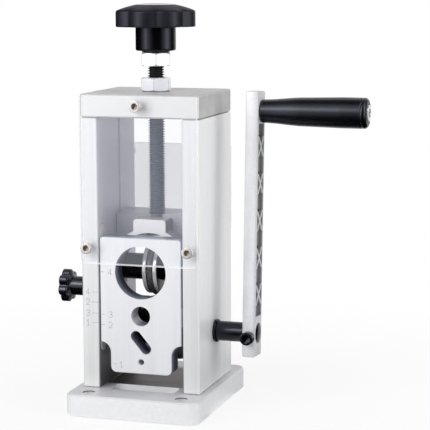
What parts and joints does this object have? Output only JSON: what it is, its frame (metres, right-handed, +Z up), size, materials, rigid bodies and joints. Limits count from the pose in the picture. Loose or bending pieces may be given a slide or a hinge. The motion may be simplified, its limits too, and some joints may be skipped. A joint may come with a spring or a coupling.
{
  "type": "wire stripping machine",
  "caption": "Hand-cranked bench wire stripper: aluminium frame, sliding feed plate with wire holes, round blade over a knurled roller, adjusting screw.",
  "frame": {"origin": "centre of the base plate's underside", "axes": "+Z up, -Y towards the operator and the wire feed side, +X towards the crank"},
  "size_m": [0.1817, 0.101, 0.244],
  "materials": {
    "aluminium_cast": "satin",
    "aluminium_brushed": "brushed",
    "aluminium_machined": "satin",
    "arm_metal": "satin",
    "steel": "polished",
    "zinc_steel": "satin",
    "dark_steel": "satin",
    "black_steel": "satin",
    "blade_steel": "polished",
    "bronze": "matt",
    "black_plastic": "matt",
    "grip_plastic": "gloss",
    "nylon": "matt",
    "clear_plastic": "gloss"
  },
  "bodies": {
    "housing": {"base_plate": "aluminium_cast", "left_side_plate": "aluminium_brushed", "right_side_plate": "aluminium_brushed", "top_block": "aluminium_machined", "front_cover": "clear_plastic", "rear_cover": "clear_plastic", "clamp_strip": "nylon", "shaft_bush_left": "bronze", "shaft_bush_right": "bronze", "front_cover_screw_top": "steel", "front_cover_screw_left": "steel", "front_cover_screw_right": "steel", "rear_cover_screw_1": "steel", "rear_cover_screw_2": "steel", "rear_cover_screw_3": "steel", "rear_cover_screw_4": "steel", "base_screw_1": "steel", "base_screw_2": "steel", "base_screw_3": "steel", "base_screw_4": "steel", "top_block_stud_1": "steel", "top_block_stud_2": "steel", "top_block_stud_3": "steel", "top_block_stud_4": "steel"},
    "crank": {"drive_shaft": "black_steel", "drive_roller": "black_steel", "roller_flange_left": "black_steel", "roller_flange_right": "black_steel", "shaft_spacer_left": "steel", "shaft_spacer_right": "steel", "roller_key": "steel", "shaft_ring": "black_steel", "crank_arm": "arm_metal", "crank_clamp_screw": "black_steel", "handle_spindle": "steel"},
    "handle": {"handle_grip": "grip_plastic"},
    "feed": {"feed_plate": "aluminium_machined"},
    "clamp": {"clamp_stud": "steel", "clamp_knob": "black_plastic"},
    "carriage": {"blade_carriage": "aluminium_machined", "blade_axle": "steel", "blade_spacer_left": "black_steel", "blade_spacer_right": "black_steel"},
    "blade": {"blade_disc": "blade_steel", "blade_ring_left": "steel", "blade_ring_right": "steel"},
    "screw": {"adjusting_screw": "dark_steel", "screw_retaining_ring": "steel", "knob_jam_nut": "zinc_steel", "star_knob": "black_plastic", "star_knob_cap": "zinc_steel"},
    "locking": {"lock_nut": "zinc_steel"}
  },
  "joints": [
    {"name": "crank_turn", "type": "hinge", "parent": "housing", "child": "crank", "pos_m": [0, 0.0013, 0.0464], "axis": [1, 0, 0], "continuous": true},
    {"name": "handle_spin", "type": "hinge", "parent": "crank", "child": "handle", "pos_m": [0, 0.00913, 0.18017], "axis": [1, 0, 0], "continuous": true},
    {"name": "feed_plate_slide", "type": "slide", "parent": "housing", "child": "feed", "axis": [0, 0, 1], "range_m": [-0.0126, 0.0246]},
    {"name": "clamp_knob_turn", "type": "hinge", "parent": "housing", "child": "clamp", "pos_m": [-0.037, -0.0241, 0.07455], "axis": [-1, 0, 0], "range_deg": [0, 360]},
    {"name": "carriage_slide", "type": "slide", "parent": "housing", "child": "carriage", "axis": [0, 0, 1], "range_m": [-0.0065, 0.055]},
    {"name": "screw_turn", "type": "hinge", "parent": "carriage", "child": "screw", "pos_m": [0, 0.0013, 0.15], "axis": [0, 0, 1], "range_deg": [-1560, 13200]},
    {"name": "blade_spin", "type": "hinge", "parent": "carriage", "child": "blade", "pos_m": [0, 0.0013, 0.0838], "axis": [1, 0, 0], "continuous": true},
    {"name": "lock_nut_turn", "type": "hinge", "parent": "housing", "child": "locking", "pos_m": [0, 0.0013, 0.1958], "axis": [0, 0, 1], "range_deg": [0, 60]}
  ],
  "couplings": [
    {"joint": "screw_turn", "follows": "carriage_slide", "rad_per_m": 4188.8}
  ]
}
